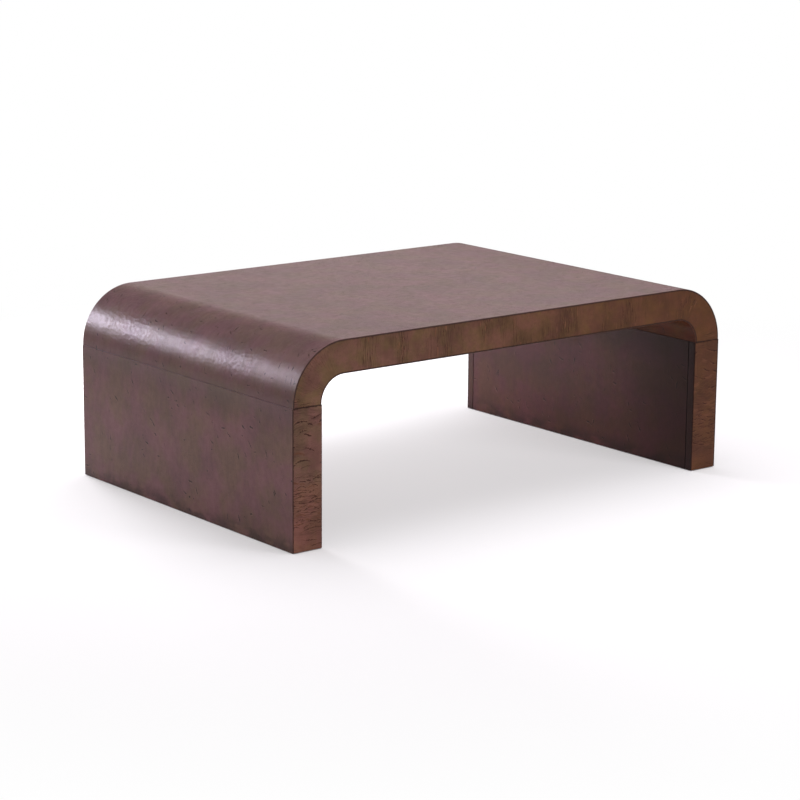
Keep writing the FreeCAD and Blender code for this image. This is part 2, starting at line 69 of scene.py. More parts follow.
# %% Read the setting-out lines from the frame
MM = 0.001
LEFT, RIGHT = -1, 1
FRONT, REAR = -1, 1
SIDE_NAMES = {LEFT: "left", RIGHT: "right"}
END_NAMES = {FRONT: "front", REAR: "rear"}

sheet_low, sheet_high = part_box("top_face_veneer")
_, under_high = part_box("underside_veneer")
edging_low, edging_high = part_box("front_edge_veneer_left")
leg_sheet_low, leg_sheet_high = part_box("right_leg_outer_veneer")
leg_edging_low, leg_edging_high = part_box("right_leg_front_edge_veneer")
_, panel_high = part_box("right_leg_inner_veneer")

SEAM = sheet_low.z
BEND_RADIUS = sheet_high.z - SEAM
BEND_X = sheet_high.x - BEND_RADIUS
HALF_DEPTH = sheet_high.y
VENEER = leg_sheet_high.x - leg_sheet_low.x
INNER_RADIUS = under_high.x - BEND_X - VENEER
EDGING = edging_high.y - edging_low.y
EDGING_OUT = edging_high.z - SEAM
EDGING_IN = INNER_RADIUS + BEND_RADIUS - EDGING_OUT
EDGING_MIDDLE = (EDGING_OUT + EDGING_IN) / 2
EDGING_HALF = (EDGING_OUT - EDGING_IN) / 2
LEG_MIDDLE = (leg_edging_high.x + leg_edging_low.x) / 2 - BEND_X
LEG_EDGING_HALF = (leg_edging_high.x - leg_edging_low.x) / 2

print(f"seam {SEAM / MM:.1f}, bend {BEND_RADIUS / MM:.1f}, tangent line {BEND_X / MM:.2f} mm")

# %% [markdown]
# ## Camera
#
# A long lens from a standing distance keeps the upright lines nearly parallel. The camera is turned
# about the upright axis, tipped down, and rolled by less than half a degree. Building the turn from
# three plain rotations keeps each of those angles readable.

# %% Place the camera
LENS = 112.75
SENSOR = 36
FARTHEST_SEEN = 60
CAMERA_PLACE = (-3.0684, -3.8608, 1.2703)
HEADING = math.radians(38.40)
TIPPED_DOWN = math.radians(12.83)
ROLL = math.radians(0.42)

scene = bpy.context.scene
camera_data = bpy.data.cameras.new("camera")
camera_data.lens = LENS
camera_data.sensor_width = SENSOR
camera_data.clip_end = FARTHEST_SEEN
camera = bpy.data.objects.new("camera", camera_data)
scene.collection.objects.link(camera)
turn = (Matrix.Rotation(-HEADING, 4, "Z") @ Matrix.Rotation(math.pi / 2 - TIPPED_DOWN, 4, "X")
        @ Matrix.Rotation(ROLL, 4, "Z"))
camera.matrix_world = Matrix.Translation(CAMERA_PLACE) @ turn
scene.camera = camera
scene.view_settings.view_transform = "Standard"
print("camera", [round(value, 2) for value in camera.location])

# %% [markdown]
# ## Helpers for shader nodes
#
# Every finish below is a small network of nodes. Typing each node and link in full would hide the
# recipe, so short helpers add a node, feed its inputs and hand back its output. A mask is a value
# from nothing to one that says where an effect shows.

# %% Node helpers
def add_node(tree, kind, **settings):
    made = tree.nodes.new(kind)
    for name, value in settings.items():
        setattr(made, name, value)
    return made


def feed(tree, target, source):
    """Give an input either another node's output or a plain value."""
    if isinstance(source, bpy.types.NodeSocket):
        tree.links.new(source, target)
    else:
        target.default_value = source


def sums(tree, operation, *inputs):
    """A Math node."""
    made = add_node(tree, "ShaderNodeMath", operation=operation)
    for target, source in zip(made.inputs, inputs):
        feed(tree, target, source)
    return made.outputs[0]


def product(tree, first, second):
    return sums(tree, "MULTIPLY", first, second)


def scaled(tree, value, factor, plus):
    """A value times a factor, plus something."""
    return sums(tree, "MULTIPLY_ADD", value, factor, plus)


def noise(tree, vector, detail=2.0, roughness=0.5):
    """Fractal noise with one hill per unit of the coordinates it is given."""
    made = add_node(tree, "ShaderNodeTexNoise")
    feed(tree, made.inputs["Vector"], vector)
    made.inputs["Scale"].default_value = 1.0
    made.inputs["Detail"].default_value = detail
    made.inputs["Roughness"].default_value = roughness
    return made.outputs[0]


def hills(tree, place, counts, detail=2.0, roughness=0.5):
    """Noise with so many hills to a metre: along, across and, in the object's own space, upwards."""
    made = add_node(tree, "ShaderNodeVectorMath", operation="MULTIPLY")
    feed(tree, made.inputs[0], place)
    made.inputs[1].default_value = (*counts, 1.0)[:3]
    return noise(tree, made.outputs[0], detail, roughness)


def split(tree, vector):
    """The first two numbers of a vector: run and across on a sheet."""
    made = add_node(tree, "ShaderNodeSeparateXYZ")
    feed(tree, made.inputs[0], vector)
    return made.outputs[0], made.outputs[1]


def flat_place(tree, run, across):
    """A vector in the plane of the sheet."""
    made = add_node(tree, "ShaderNodeCombineXYZ")
    feed(tree, made.inputs[0], run)
    feed(tree, made.inputs[1], across)
    return made.outputs[0]


def between(tree, value, low, high, to_low=0.0, to_high=1.0):
    """Stretch the part of a value from low to high over a new range, with soft ends."""
    made = add_node(tree, "ShaderNodeMapRange", interpolation_type="SMOOTHSTEP")
    for target, source in zip(made.inputs, (value, low, high, to_low, to_high)):
        feed(tree, target, source)
    return made.outputs[0]


def fading(tree, value, low, high):
    """A mask that is one up to low and nothing from high on."""
    return between(tree, value, low, high, 1.0, 0.0)


def blend(tree, amount, first, second):
    """Mix two colours."""
    made = add_node(tree, "ShaderNodeMix", data_type="RGBA")
    feed(tree, made.inputs["Factor"], amount)
    feed(tree, made.inputs[6], first)
    feed(tree, made.inputs[7], second)
    return made.outputs[2]


def colour(red, green, blue):
    """A colour as it looks on a screen, from 0 to 255, in the linear numbers that shaders use."""
    linear = [((c / 255 + 0.055) / 1.055) ** 2.4 if c > 10 else c / 255 / 12.92
              for c in (red, green, blue)]
    return (*linear, 1.0)


def new_group(name, inputs, outputs):
    """An empty node group that reads a place and some named numbers, and gives named numbers."""
    group = bpy.data.node_groups.new(name, "ShaderNodeTree")
    group.interface.new_socket("Place", in_out="INPUT", socket_type="NodeSocketVector")
    for label, value in inputs.items():
        made = group.interface.new_socket(label, in_out="INPUT", socket_type="NodeSocketFloat")
        made.default_value = value
    for label in outputs:
        group.interface.new_socket(label, in_out="OUTPUT", socket_type="NodeSocketFloat")
    return group, group.nodes.new("NodeGroupInput").outputs, group.nodes.new("NodeGroupOutput").inputs


def use_group(tree, group, **values):
    """Place a group in a material and set its inputs, written with _ for a space."""
    made = add_node(tree, "ShaderNodeGroup", node_tree=group)
    for name, value in values.items():
        feed(tree, made.inputs[name.replace("_", " ")], value)
    return made.outputs


print("node helpers ready")

# %% [markdown]
# ## What the veneer looks like, as node groups
#
# The veneer is a mildly figured hardwood under a dark stain. Four things make it up, at four scales.
# Clouds from three fingers to a hand across drift from mauve brown to olive brown, where the stain
# took more or less. Fine grain lines and open pores run along the sheet. Short dark ticks gather in
# loose groups, where the grain once turned round a bud. Joints and the foot collect stain. The rims
# are paler: a painted highlight, where the eased edge catches the light.
#
# The clouds and the grain are noise, the grain stretched along the sheet. A tick is drawn round the
# middle of each cell of a Voronoi pattern, because that gives every tick its own turn, length and
# bow, and a crisp outline. Beside each tick lies a pale lip, where the fibres rise out of the pit.
# All the veneers use these, so each is a group. A group gives out masks and heights only, and every
# material chooses its own colours and gloss.

# %% Group: stain clouds
def build_stain_clouds():
    group, given, out = new_group(
        "stain clouds", {"Cloud Size": 50 * MM}, ["Warmth", "Depth", "Mottle"])
    run, across = split(group, given["Place"])

    def drift(share, detail, low, high):
        """Noise with hills this share of a cloud across, from none at low to full at high."""
        size = product(group, given["Cloud Size"], share)
        where = flat_place(group, sums(group, "DIVIDE", run, size), sums(group, "DIVIDE", across, size))
        return between(group, noise(group, where, detail, 0.55), low, high)

    feed(group, out["Warmth"], drift(1.0, 3, 0.36, 0.64))
    feed(group, out["Depth"], drift(1.7, 4, 0.32, 0.68))
    feed(group, out["Mottle"], drift(0.21, 3, 0.30, 0.70))
    return group


stain_clouds = build_stain_clouds()
print("stain clouds:", len(stain_clouds.nodes), "nodes")

# %% [markdown]
# Patterns that don't follow a size of their own are given as hills to a metre of sheet, first along
# the run of the sheet and then across it.

# %% Group: fine grain
WANDER = (16, 22)
PORE_CROWDS = (30, 45)
SWELL = (90, 200)
FLECKS = (150, 125)


def build_fine_grain():
    group, given, out = new_group(
        "fine grain",
        {"Line Width": 1.2 * MM, "Line Length": 34 * MM, "Waviness": 0.3},
        ["Lines", "Pores", "Flecks", "Height"])
    place = given["Place"]
    run, across = split(group, place)
    wander = sums(group, "SUBTRACT", hills(group, place, WANDER), 0.5)
    bent = scaled(group, wander, product(group, given["Waviness"], 40 * MM), across)

    def lengthwise(long_share, wide_share):
        """Coordinates with one unit to a share of a grain line's length, and of its width."""
        long_size = product(group, given["Line Length"], long_share)
        wide_size = product(group, given["Line Width"], wide_share)
        return flat_place(group, sums(group, "DIVIDE", run, long_size),
                          sums(group, "DIVIDE", bent, wide_size))

    lines = between(group, noise(group, lengthwise(1.0, 2.0), 4, 0.6), 0.32, 0.68)
    crowd = between(group, hills(group, place, PORE_CROWDS), 0.36, 0.60, 0.25, 1.0)
    openings = between(group, noise(group, lengthwise(0.20, 0.45), 2, 0.6), 0.54, 0.66)
    pores = product(group, crowd, openings)
    swell = hills(group, place, SWELL)
    raised = scaled(group, swell, 0.6, product(group, lines, 0.4))
    feed(group, out["Lines"], lines)
    feed(group, out["Pores"], pores)
    feed(group, out["Flecks"], hills(group, place, FLECKS, 0))
    feed(group, out["Height"], scaled(group, pores, -0.5, raised))
    return group


fine_grain = build_fine_grain()
print("fine grain:", len(fine_grain.nodes), "nodes")

# %% [markdown]
# A Voronoi cell gives three chance numbers, for a tick's turn, bow and length. Two more, for its
# width and for whether it is drawn, are the fractions left when the first ones are multiplied up.

# %% Group: grain ticks
FRAY = (380, 380)
FRAYED_BY = 2.4
SHORTEST, LONGER_BY = 0.12, 0.45
THINNEST, THICKER_BY = 0.45, 0.8
SOLID_TO, GONE_AT = 0.6, 1.2
LIP_ASIDE = 0.95


def build_grain_ticks():
    group, given, out = new_group(
        "grain ticks",
        {"Cell Length": 14 * MM, "Cell Width": 8 * MM, "Length": 9 * MM, "Width": 1.3 * MM,
         "Slant": 0.0, "Spread": 0.4, "Bow": 30.0, "Share": 0.5},
        ["Ticks", "Lips", "Tone"])

    run, across = split(group, given["Place"])
    where = flat_place(group, sums(group, "DIVIDE", run, given["Cell Length"]),
                       sums(group, "DIVIDE", across, given["Cell Width"]))
    cells = add_node(group, "ShaderNodeTexVoronoi", voronoi_dimensions="2D")
    cells.inputs["Scale"].default_value = 1.0
    feed(group, cells.inputs["Vector"], where)
    chance = add_node(group, "ShaderNodeSeparateColor")
    feed(group, chance.inputs[0], cells.outputs["Color"])
    first, second, third = chance.outputs[:3]
    tone = sums(group, "FRACT", product(group, second, 11.7))
    luck = sums(group, "FRACT", scaled(group, first, 17.3, product(group, third, 5.1)))
    drawn = sums(group, "LESS_THAN", luck, given["Share"])

    from_middle = add_node(group, "ShaderNodeVectorMath", operation="SUBTRACT")
    feed(group, from_middle.inputs[0], where)
    feed(group, from_middle.inputs[1], cells.outputs["Position"])
    x, y = split(group, from_middle.outputs[0])
    x = product(group, x, given["Cell Length"])
    y = product(group, y, given["Cell Width"])
    turned = scaled(group, scaled(group, first, 2.0, -1.0), given["Spread"], given["Slant"])
    cosine, sine = sums(group, "COSINE", turned), sums(group, "SINE", turned)
    along = sums(group, "ADD", product(group, x, cosine), product(group, y, sine))
    aside = sums(group, "SUBTRACT", product(group, y, cosine), product(group, x, sine))

    frayed = sums(group, "SUBTRACT", hills(group, given["Place"], FRAY), 0.5)
    aside = scaled(group, product(group, given["Width"], FRAYED_BY), frayed, aside)
    bow = product(group, product(group, given["Bow"], second), product(group, along, along))
    bowed = sums(group, "ADD", aside, bow)
    reach = product(group, given["Length"], scaled(group, third, LONGER_BY, SHORTEST))
    width = product(group, given["Width"], scaled(group, tone, THICKER_BY, THINNEST))

    def stroke(side):
        """A long oval, that many tick widths beside the line."""
        beside = scaled(group, width, -side, bowed)
        long_part = sums(group, "POWER", sums(group, "DIVIDE", along, reach), 2.0)
        wide_part = sums(group, "POWER", sums(group, "DIVIDE", beside, product(group, width, 0.5)), 2.0)
        oval = sums(group, "SQRT", sums(group, "ADD", long_part, wide_part))
        return product(group, drawn, fading(group, oval, SOLID_TO, GONE_AT))

    feed(group, out["Ticks"], stroke(0.0))
    feed(group, out["Lips"], stroke(LIP_ASIDE))
    feed(group, out["Tone"], tone)
    return group


grain_ticks = build_grain_ticks()
print("grain ticks:", len(grain_ticks.nodes), "nodes")

# %% [markdown]
# A joint or a glue line collects dark stain. The mask is strongest at the line and fades over a
# millimetre or two. Its middle and its width both wander a little, as a scraper and a brush would
# leave them. The same mask, given a paler colour, is a painted highlight along a rim, where the
# eased edge catches the light.

# %% Group: ragged line
WIDTH_HILLS = (140, 140, 140)
WAVER_HILLS = (75, 75, 75)


def build_ragged_line():
    group, given, out = new_group(
        "ragged line",
        {"Distance": 0.0, "Width": 1 * MM, "Raggedness": 0.2 * MM},
        ["Line"])
    place = given["Place"]
    spread = between(group, hills(group, place, WIDTH_HILLS, 3, 0.6), 0.3, 0.7, 0.55, 1.5)
    wide = product(group, given["Width"], spread)
    waver = scaled(group, hills(group, place, WAVER_HILLS), 4.0, -2.0)
    ragged = product(group, waver, given["Raggedness"])
    away = sums(group, "ABSOLUTE", sums(group, "ADD", given["Distance"], ragged))
    feed(group, out["Line"], fading(group, away, 0.0, wide))
    return group


ragged_line = build_ragged_line()
print("ragged line:", len(ragged_line.nodes), "nodes")

# %% [markdown]
# ## Finishes
#
# A finish is a Principled BSDF whose colour, roughness and normal come from the groups. The lacquer
# is a thin satin one that has sunk into the wood, so it shines at a low angle and little from
# straight on: a face's roughness stays a little over a quarter, and the specular level is below the
# usual half. Open pores and ticks are pits, so they are dark and low, and pores are rougher too.

# %% Finish helpers
SHEET_MAP = "sheet"


def new_finish(name):
    """A material with a Principled BSDF. Gives the material, its tree and the shader."""
    material = bpy.data.materials.new(name)
    material.use_nodes = True
    tree = material.node_tree
    return material, tree, tree.nodes["Principled BSDF"]


def sheet_place(tree):
    """Where a point lies on the flat sheet, before it was bent: run, across."""
    return add_node(tree, "ShaderNodeUVMap", uv_map=SHEET_MAP).outputs[0]


def object_place(tree):
    return add_node(tree, "ShaderNodeTexCoord").outputs["Object"]


def level_above(tree, level):
    """How far a point is above a level of the table."""
    parts = add_node(tree, "ShaderNodeSeparateXYZ")
    feed(tree, parts.inputs[0], object_place(tree))
    return sums(tree, "SUBTRACT", parts.outputs["Z"], level)


def coat(tree, shader, base, rough, height, depth, strength=0.6):
    """Give a shader its colour, its roughness and, as a bump on the normal, its height."""
    feed(tree, shader.inputs["Base Color"], base)
    feed(tree, shader.inputs["Roughness"], rough)
    bump = add_node(tree, "ShaderNodeBump")
    bump.inputs["Distance"].default_value = depth
    bump.inputs["Strength"].default_value = strength
    feed(tree, bump.inputs["Height"], height)
    feed(tree, shader.inputs["Normal"], bump.outputs[0])


def layered(tree, base, *layers):
    """Lay colours over a base, each by its mask and strength."""
    for mask, strength, over in layers:
        base = blend(tree, product(tree, mask, strength), base, over)
    return base


print("finish helpers ready")

# %% [markdown]
# The broad faces get their colour in layers, from the stain clouds up to the rims, whose paler line
# is a painted highlight. A wide band round each seam is painted darker, as shade. Where a sheet is
# stretched over a bend its grain stands up: fine flecks, strongest in patches, break the highlight
# there, and slow ripples make its edges wander; there the sheet is also painted paler and greyer,
# as sheen. The lacquer is duller on the outside of the legs, towards the right-hand end of the top,
# and towards the front of the inner faces, where the colour is also painted darker, as shade.

# %% Finish: face veneer
SATIN = 0.28
MOTTLED_BY = 0.035
PORES_ROUGHER = 0.2
DULLED_BY = 0.35
GRAIN_DEPTH = 0.15 * MM
PIT = -0.15
RIPPLE = 6.0
CALM_SHARE = 0.3
# Where a mask begins and ends, along or across the sheet.
DULLER_ALONG = (0.12, 0.42)
# Where the front of an inner face is painted darker, as shade.
FRONT_SHADE_ACROSS = (-0.34, -0.05)
# Pale colour for the lips of the ticks, and for the painted highlight along the rims.
PALE_LIP_AND_RIM_HIGHLIGHT = colour(150, 112, 98)
# Painted sheen: the bends are painted paler and greyer.
BEND_PAINTED_SHEEN = colour(150, 142, 147)
BUD_TICKS = dict(Cell_Length=24 * MM, Cell_Width=15 * MM, Length=16 * MM, Width=2.4 * MM,
                 Spread=0.9, Bow=25.0, Share=0.34)

BUD_GROUPS = (14, 14)
SEAM_PATCHES = (3, 11)
SCUFFS = (34, 18)
FLECK_PATCHES = (6, 6)
RIPPLES = (40, 26)


def bend_relief(tree, place, on_bend, flecks, raised, height):
    """Add the flecks and ripples of a stretched sheet to a height."""
    patches = hills(tree, place, FLECK_PATCHES)
    rise = between(tree, patches, 0.44, 0.58, CALM_SHARE * raised, raised)
    height = scaled(tree, product(tree, on_bend, rise), flecks, height)
    ripples = hills(tree, place, RIPPLES, 0)
    return scaled(tree, product(tree, on_bend, RIPPLE), ripples, height)


def face_veneer(name, mauve, olive, dark, gloss, slant, joints=(), front_painted_shade=0.0, raised=0.0):
    """Stained veneer, seen on its face. joints are the places across the sheet of dark hairlines.

    The argument after joints is how much darker the front part of the sheet is painted, as shade.
    raised is how far the grain stands up on the outside of a bend.
    """
    material, tree, shader = new_finish(name)
    place = sheet_place(tree)
    run, across = split(tree, place)
    above_seam = level_above(tree, SEAM)
    clouds = use_group(tree, stain_clouds, Place=place, Cloud_Size=64 * MM)
    grain = use_group(tree, fine_grain, Place=place)
    marks = use_group(tree, grain_ticks, Place=place, Slant=slant, **BUD_TICKS)
    gathered = between(tree, hills(tree, place, BUD_GROUPS), 0.46, 0.54)
    ticks = product(tree, marks["Ticks"], gathered)
    lips = product(tree, marks["Lips"], gathered)

    from_middle = sums(tree, "ABSOLUTE", across)
    to_edge = sums(tree, "SUBTRACT", HALF_DEPTH, from_middle)
    # The paler rim is a painted highlight, where the eased edge catches the light.
    rim = use_group(tree, ragged_line, Place=place, Width=2.2 * MM, Distance=to_edge)["Line"]
    cut_edge = fading(tree, to_edge, 0.2 * MM, 0.5 * MM)
    seam = use_group(tree, ragged_line, Place=place, Width=1.8 * MM, Raggedness=0.7 * MM,
                     Distance=above_seam)["Line"]
    seam_patches = between(tree, hills(tree, place, SEAM_PATCHES), 0.54, 0.62)
    # Painted shade: a wide band centred a little below the seam is darkened.
    below_bend = sums(tree, "ABSOLUTE", level_above(tree, SEAM - 8 * MM))
    seam_band_painted_shade = fading(tree, below_bend, 5 * MM, 66 * MM)
    foot = fading(tree, level_above(tree, 0.0), 3 * MM, 38 * MM)
    scuffed = between(tree, hills(tree, place, SCUFFS, 3), 0.38, 0.58)

    layers = [
        (clouds["Depth"], 0.26, dark),
        (clouds["Mottle"], 0.16, dark),
        (grain["Lines"], 0.04, dark),
        (grain["Pores"], 0.28, dark),
        (lips, 0.12, PALE_LIP_AND_RIM_HIGHLIGHT),
        (ticks, 0.95, dark),
        (product(tree, foot, scuffed), 0.60, dark),
        (seam_band_painted_shade, 0.30, dark),
        (product(tree, seam, seam_patches), 0.15, dark),
        (rim, 0.25, PALE_LIP_AND_RIM_HIGHLIGHT),
        (cut_edge, 0.85, dark),
    ]
    height = scaled(tree, ticks, PIT, grain["Height"])
    # Towards the front the sheet is painted darker, as shade, and its lacquer is duller.
    if front_painted_shade:
        duller = fading(tree, across, *FRONT_SHADE_ACROSS)
        layers.append((duller, front_painted_shade, dark))
    else:
        on_leg = fading(tree, above_seam, -45 * MM, 5 * MM)
        duller = sums(tree, "MAXIMUM", between(tree, run, *DULLER_ALONG), on_leg)
    if raised:
        past_tangent = between(tree, sums(tree, "ABSOLUTE", run), BEND_X + 10 * MM, BEND_X + 60 * MM)
        on_bend = product(tree, past_tangent, between(tree, above_seam, 8 * MM, 45 * MM))
        # The bend is painted paler and greyer, as sheen.
        layers.insert(0, (on_bend, 0.14, BEND_PAINTED_SHEEN))
        height = bend_relief(tree, place, on_bend, grain["Flecks"], raised, height)
    for joint in joints:
        past = sums(tree, "SUBTRACT", from_middle, joint)
        hairline = use_group(tree, ragged_line, Place=place, Width=1.5 * MM, Distance=past)["Line"]
        layers.append((sums(tree, "GREATER_THAN", past, 0.0), 0.30, dark))
        layers.append((hairline, 0.85, dark))

    feed(tree, shader.inputs["Specular IOR Level"], scaled(tree, duller, -DULLED_BY * gloss, gloss))
    rough = scaled(tree, clouds["Mottle"], MOTTLED_BY, SATIN)
    coat(tree, shader, layered(tree, blend(tree, clouds["Warmth"], mauve, olive), *layers),
         scaled(tree, grain["Pores"], PORES_ROUGHER, rough), height, GRAIN_DEPTH)
    return material


outer_face = face_veneer(
    "outer face veneer", colour(112, 73, 76), colour(106, 77, 65), colour(30, 15, 13),
    gloss=0.28, slant=0.9, raised=4.8)
under_face = face_veneer(
    "underside veneer", colour(94, 45, 26), colour(90, 50, 19), colour(30, 16, 12),
    gloss=0.14, slant=0.2)
# The inner faces are the same veneer, with its colours painted darker as shade; their front part is darker
# still.
shaded_inner_face = face_veneer(
    "shaded leg inner veneer", colour(84, 44, 47), colour(80, 47, 37), colour(24, 12, 10),
    gloss=0.20, slant=-0.6, joints=(panel_high.y,), front_painted_shade=0.68)
print("face veneers:", outer_face.name, under_face.name, shaded_inner_face.name)

# %% [markdown]
# The edging is the same wood laid across the thickness. On a band this narrow the eye sees single
# marks, some darker and some more golden than the wood round them. On the apron they are straight
# strokes in bunches. Down the legs they are hooked eyes under the seam, and rows of small scallops
# and long arches below them. Glue lines show along both sides as fine dark lines.

# %% Finish: cross-banded edging
BUNCHES = (13, 4)
PALE_FROM = 0.8
RIGHTWARD_ALONG = (-0.75, 0.75)
BAND_GLOSS = 0.14
BAND_ROUGHNESS = SATIN + 0.17
# Deeper, more golden colour of the right-hand end: partly the wood's own, partly painted shade.
RIGHT_END_DEEP_AND_SHADED = colour(78, 40, 4)
# Paler colour towards the foot, at the left-hand end.
PALER_FOOT = colour(146, 92, 78)
LIP = colour(146, 96, 72)
STROKES = dict(Cell_Length=22 * MM, Cell_Width=4.6 * MM, Length=30 * MM, Width=1.3 * MM,
               Spread=0.10, Bow=3.0, Share=0.6)
HOOKS = dict(Cell_Length=34 * MM, Cell_Width=12 * MM, Length=56 * MM, Width=3.0 * MM,
             Spread=0.5, Bow=28.0, Share=0.7)
SCALLOPS = dict(Cell_Length=15 * MM, Cell_Width=6.5 * MM, Length=28 * MM, Width=2.0 * MM,
                Spread=0.35, Bow=42.0, Share=0.8)
ARCHES = dict(Cell_Length=70 * MM, Cell_Width=13 * MM, Length=110 * MM, Width=1.8 * MM,
              Spread=0.12, Bow=9.0, Share=0.6)


def height_band(tree, low, high):
    """One between two levels of the table, with soft ends."""
    soft = 14 * MM
    rise = between(tree, level_above(tree, low), 0.0, soft)
    return product(tree, rise, fading(tree, level_above(tree, high), -soft, 0.0))


def edging_veneer(name, red, gold, dark, half_width, waviness, marks):
    """Veneer with its grain across the band. marks are groups of ticks: zone, strength, values.

    Towards the right-hand end the band turns deeper and more golden: partly the wood's own colour,
    partly painted shade.
    """
    material, tree, shader = new_finish(name)
    place = sheet_place(tree)
    run, across = split(tree, place)
    crosswise = flat_place(tree, across, run)
    clouds = use_group(tree, stain_clouds, Place=place, Cloud_Size=40 * MM)
    grain = use_group(tree, fine_grain, Place=crosswise, Line_Width=1.3 * MM, Line_Length=26 * MM,
                      Waviness=waviness)
    bunches = between(tree, hills(tree, place, BUNCHES, 3), 0.44, 0.58)
    along_table = split(tree, object_place(tree))[0]
    # Towards the right-hand end the band turns deeper and more golden: partly its own colour, partly
    # painted shade.
    deeper_and_shaded = between(tree, along_table, *RIGHTWARD_ALONG)
    # Towards the foot, at the left-hand end, the band is paler.
    foot = product(tree, height_band(tree, -20 * MM, 130 * MM), fading(tree, along_table, *RIGHTWARD_ALONG))
    layers = [
        (deeper_and_shaded, 0.85, RIGHT_END_DEEP_AND_SHADED),
        (foot, 0.40, PALER_FOOT),
        (clouds["Depth"], 0.35, dark),
        (clouds["Mottle"], 0.10, dark),
        (product(tree, grain["Lines"], bunches), 0.50, dark),
        (grain["Pores"], 0.45, dark),
    ]
    pits = grain["Pores"]
    for zone, strength, values in marks:
        made = use_group(tree, grain_ticks, Place=crosswise, **values)
        mask = height_band(tree, *zone) if zone else bunches
        shown = product(tree, made["Ticks"], mask)
        pale = product(tree, shown, sums(tree, "GREATER_THAN", made["Tone"], PALE_FROM))
        layers.append((product(tree, made["Lips"], mask), 0.10 if zone else 0.25, LIP))
        layers.append((shown, strength, dark))
        layers.append((pale, 0.30 if zone else 0.45, LIP))
        pits = sums(tree, "MAXIMUM", pits, shown)
    to_glue = sums(tree, "SUBTRACT", half_width, sums(tree, "ABSOLUTE", across))
    glue = use_group(tree, ragged_line, Place=place, Width=1.8 * MM, Distance=to_glue)["Line"]
    seam = use_group(tree, ragged_line, Place=place, Width=2.8 * MM, Raggedness=1.3 * MM,
                     Distance=level_above(tree, SEAM))["Line"]
    layers.append((glue, 0.9, dark))
    layers.append((seam, 0.95, dark))
    shader.inputs["Specular IOR Level"].default_value = BAND_GLOSS
    coat(tree, shader, layered(tree, blend(tree, clouds["Warmth"], red, gold), *layers),
         scaled(tree, pits, PORES_ROUGHER, BAND_ROUGHNESS), scaled(tree, pits, PIT, grain["Height"]),
         GRAIN_DEPTH)
    return material


apron_edging = edging_veneer(
    "apron edging", colour(117, 81, 70), colour(111, 86, 61), colour(36, 17, 10), EDGING_HALF, 0.1,
    [(None, 0.90, STROKES)])
leg_edging = edging_veneer(
    "leg edging", colour(120, 83, 75), colour(113, 87, 68), colour(34, 15, 10), LEG_EDGING_HALF, 1.0,
    [((150 * MM, 258 * MM), 0.85, HOOKS), ((40 * MM, 150 * MM), 0.75, SCALLOPS),
     ((0.0, 150 * MM), 0.65, ARCHES)])
print("edging:", apron_edging.name, leg_edging.name)

# %% [markdown]
# ## Modelling helpers
#
# Each new piece starts as a primitive in edit mode. An operator works on whatever is selected, so
# everything is deselected first, and faces or edges are then picked by their place.

# %% Edit-mode helpers
NEAR = 0.02 * MM
DOUBLES_WITHIN = NEAR / 4
SMOOTH_BELOW = math.radians(28)
FACE_AREA_WEIGHT = 90
EASE_STEPS = 3


def start_block(name, low, high, flat=False):
    """A block, or a flat face in the level plane, from corner to corner, left in edit mode."""
    if bpy.context.mode != "OBJECT":
        bpy.ops.object.mode_set(mode="OBJECT")
    bpy.ops.object.select_all(action="DESELECT")
    size = Vector(high) - Vector(low)
    middle = (Vector(high) + Vector(low)) / 2
    if flat:
        bpy.ops.mesh.primitive_plane_add(size=1, enter_editmode=True)
        size.z = 1
    else:
        bpy.ops.mesh.primitive_cube_add(size=1, enter_editmode=True)
    piece = bpy.context.object
    piece.name = piece.data.name = name
    bpy.ops.transform.resize(value=size)
    bpy.ops.transform.translate(value=middle)
    return piece


def pick_edges(piece, wanted):
    """Select only the edges whose two ends both pass the test, in edge mode."""
    bpy.ops.mesh.select_mode(type="EDGE")
    bpy.ops.mesh.select_all(action="DESELECT")
    mesh = bmesh.from_edit_mesh(piece.data)
    count = 0
    for edge in mesh.edges:
        if wanted(*[vertex.co for vertex in edge.verts]):
            edge.select_set(True)
            count += 1
    bmesh.update_edit_mesh(piece.data)
    return count


def ease(width):
    """Round the selected edges."""
    bpy.ops.mesh.bevel(offset=width, offset_type="OFFSET", segments=EASE_STEPS, profile=0.5,
                       affect="EDGES", clamp_overlap=True)


def merge_all():
    """Select everything and merge the doubles."""
    bpy.ops.mesh.select_all(action="SELECT")
    bpy.ops.mesh.remove_doubles(threshold=DOUBLES_WITHIN)


def close_up(piece):
    """Leave edit mode with the doubles merged and the faces outwards, and print what was made."""
    merge_all()
    bpy.ops.mesh.normals_make_consistent(inside=False)
    bpy.ops.object.mode_set(mode="OBJECT")
    bpy.ops.object.shade_smooth_by_angle(angle=SMOOTH_BELOW)
    mesh = bmesh.new()
    mesh.from_mesh(piece.data)
    open_edges = sum(not edge.is_manifold for edge in mesh.edges)
    volume = mesh.calc_volume(signed=True)
    mesh.free()
    print(f"{piece.name}: {len(piece.data.polygons)} faces, {open_edges} open edges,",
          f"{volume / MM ** 3 / 1000:.0f} cm3")


def lay_flat(piece, radius, banded=False, shift=0.0):
    """Write the sheet map: how far along the bent sheet each corner lies, and how far across.

    A banded piece measures across the thickness, from the middle of its band. A shift along the
    run gives a piece its own stretch of the pattern.
    """
    layer = piece.data.uv_layers.new(name=SHEET_MAP)
    for polygon in piece.data.polygons:
        for loop in polygon.loop_indices:
            x, y, z = piece.data.vertices[piece.data.loops[loop].vertex_index].co
            past_tangent = abs(x) - BEND_X
            if z <= SEAM:
                run = BEND_X + radius * math.pi / 2 + SEAM - z
                out = past_tangent
            elif past_tangent > 0:
                run = BEND_X + radius * math.atan2(past_tangent, z - SEAM)
                out = math.hypot(past_tangent, z - SEAM)
            else:
                run = abs(x)
                out = z - SEAM
            across = out - radius if banded else y
            layer.data[loop].uv = (math.copysign(run, x) + shift, across)


